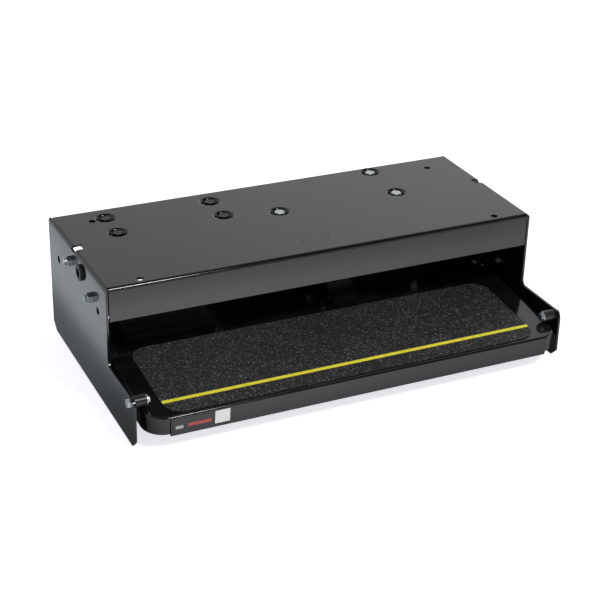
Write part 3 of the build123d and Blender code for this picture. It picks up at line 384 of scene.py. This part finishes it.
label_dark = surface(
    "label_dark", (0.010, 0.011, 0.012), (0.014, 0.015, 0.017), patch=60.0, rough=(0.2, 0.28))
label_red = surface("label_red", (0.42, 0.05, 0.05), (0.5, 0.07, 0.065), patch=90.0, rough=(0.35, 0.45))
label_pale = surface("label_pale", (0.50, 0.47, 0.48), (0.56, 0.53, 0.54), patch=90.0, rough=(0.35, 0.45))
label_white = surface("label_white", (0.90, 0.90, 0.91), (0.95, 0.95, 0.96), patch=90.0, rough=(0.45, 0.55))
seam_shade = surface(
    "seam_shade", (0.003, 0.003, 0.0035), (0.005, 0.005, 0.0055), patch=90.0, rough=(0.75, 0.9), specular=0.1)

label_plate = flange_plate("label_plate", LABEL_SPAN, LABEL_DROP, LABEL_THICK, label_dark)
label_bar_long = flange_plate("label_bar_long", LONG_BAR_SPAN, LONG_BAR_DROP, BAR_THICK, label_red, BAR_OUT)
label_bar_short = flange_plate(
    "label_bar_short", SHORT_BAR_SPAN, SHORT_BAR_DROP, BAR_THICK, label_pale, BAR_OUT)
blank_square = flange_plate("blank_square", STICKER_SPAN, STICKER_DROP, STICKER_THICK, label_white)
# Painted shade: a dark, dull strip sunk in the seam where the corner meets the flange
painted_seam_shade = flange_plate("painted_seam_shade", SEAM_SHADE_SPAN, SEAM_SHADE_DROP, SEAM_SHADE_THICK, seam_shade, SEAM_SHADE_OUT)


# Floor


def floor_gloss(graph, is_side):
    """The floor's painted light in a glossy surface: before the step, beside it and behind it, with painted
    shadow under it.
    """
    place = graph.axes("Object")
    x, y = place["X"], place["Y"]
    front = graph.math("MULTIPLY", graph.ramp(y, FRONT_BY_Y), graph.ramp(x, FRONT_BY_X))
    beside = graph.math("MULTIPLY", graph.ramp(y, SIDE_BY_Y), graph.ramp(x, SIDE_BY_X))
    behind = graph.math("MULTIPLY", graph.ramp(y, BEHIND_BY_Y), graph.ramp(x, BEHIND_BY_X))
    side = graph.math("ADD", beside, behind)
    return graph.math(
        "ADD", graph.math("MULTIPLY", side, is_side),
        graph.math("MULTIPLY", front, graph.math("SUBTRACT", 1.0, is_side)))


def pale_floor():
    """White seen directly; in gloss, a glow of painted light as bright as a studio floor lit from the front,
    with painted shadow under the step.
    """
    mat = bpy.data.materials.new("pale_floor")
    graph = Graph(mat)
    graph.nodes.clear()
    diffuse = graph.add("ShaderNodeBsdfDiffuse")
    graph.join(FLOOR_GREY, diffuse.inputs["Color"])
    path = graph.add("ShaderNodeLightPath").outputs
    is_side = graph.ramp(graph.axes("Object")["Y"], SIDE_START)
    gloss = floor_gloss(graph, is_side)
    tint = graph.add("ShaderNodeMix")
    tint.data_type = "RGBA"
    graph.join(FRONT_TINT, tint.inputs["A"])
    graph.join(SIDE_TINT, tint.inputs["B"])
    graph.join(graph.math("MULTIPLY", is_side, path["Is Glossy Ray"]), tint.inputs["Factor"])
    lift = graph.math("MULTIPLY", path["Is Camera Ray"], FLOOR_LIFT)
    lift = graph.math("ADD", lift, graph.math("MULTIPLY", path["Is Glossy Ray"], gloss))
    glow = graph.add("ShaderNodeEmission")
    graph.join(tint.outputs["Result"], glow.inputs["Color"])
    graph.join(lift, glow.inputs["Strength"])
    both = graph.add("ShaderNodeAddShader")
    graph.join(diffuse.outputs[0], both.inputs[0])
    graph.join(glow.outputs[0], both.inputs[1])
    only = graph.add("ShaderNodeMixShader")
    graph.join(path["Is Glossy Ray"], only.inputs[0])
    graph.join(both.outputs[0], only.inputs[1])
    graph.join(glow.outputs[0], only.inputs[2])
    out = graph.add("ShaderNodeOutputMaterial")
    graph.join(only.outputs[0], out.inputs["Surface"])
    return mat


bpy.ops.mesh.primitive_plane_add(size=FLOOR_SIZE, location=(0, 0, FLOOR_Z))
floor = bpy.context.object
floor.name = "floor"
floor.data.materials.append(pale_floor())


# Room, lamp and camera


def room_gloss(graph):
    """The room's level in a glossy surface: bright walls under a dark ceiling."""
    look = graph.axes("Generated")
    is_back = graph.math("MAXIMUM", graph.ramp(look["Y"], BACK_START), graph.ramp(look["X"], LEFT_START))
    back = graph.math("MULTIPLY", graph.ramp(look["Z"], ROOM_BACK), is_back)
    front = graph.math("MULTIPLY", graph.ramp(look["Z"], ROOM_FRONT), graph.math("SUBTRACT", 1.0, is_back))
    return graph.math("MULTIPLY", graph.math("ADD", back, front), graph.ramp(look["X"], ROOM_ACROSS))


def studio_room():
    """White seen directly, a plain ambient light, and the room's own levels in gloss."""
    world = bpy.data.worlds.new("studio")
    graph = Graph(world)
    graph.nodes.clear()
    path = graph.add("ShaderNodeLightPath").outputs
    seen = graph.math("MULTIPLY", path["Is Glossy Ray"], room_gloss(graph))
    seen = graph.math("ADD", seen, graph.math("MULTIPLY", path["Is Diffuse Ray"], ROOM_AMBIENT))
    seen = graph.math("ADD", seen, path["Is Camera Ray"])
    seen = graph.math("ADD", seen, path["Is Transmission Ray"])
    sky = graph.add("ShaderNodeBackground")
    graph.join(ROOM_WHITE, sky.inputs["Color"])
    graph.join(seen, sky.inputs["Strength"])
    out = graph.add("ShaderNodeOutputWorld")
    graph.join(sky.outputs[0], out.inputs["Surface"])
    return world


def key_lamp():
    """A square soft box that looks at the step."""
    data = bpy.data.lights.new("key", "AREA")
    data.shape = "SQUARE"
    data.size = KEY_SIZE
    data.energy = KEY_POWER
    lamp = bpy.data.objects.new("key", data)
    bpy.context.collection.objects.link(lamp)
    lamp.location = KEY_PLACE
    lamp.rotation_euler = (KEY_AIM - KEY_PLACE).to_track_quat("-Z", "Y").to_euler()


def photo_camera():
    """A camera at the photograph's viewing angle."""
    data = bpy.data.cameras.new("camera")
    data.sensor_width = CAMERA_SENSOR
    data.lens = CAMERA_LENS
    camera = bpy.data.objects.new("camera", data)
    bpy.context.collection.objects.link(camera)
    turn = Matrix((CAMERA_RIGHT, -CAMERA_DOWN, -CAMERA_FORWARD)).transposed()
    camera.matrix_world = Matrix.Translation(CAMERA_PLACE) @ turn.to_4x4()
    return camera


bpy.context.scene.world = studio_room()
key_lamp()
bpy.context.scene.camera = photo_camera()
bpy.context.scene.view_settings.view_transform = "Standard"
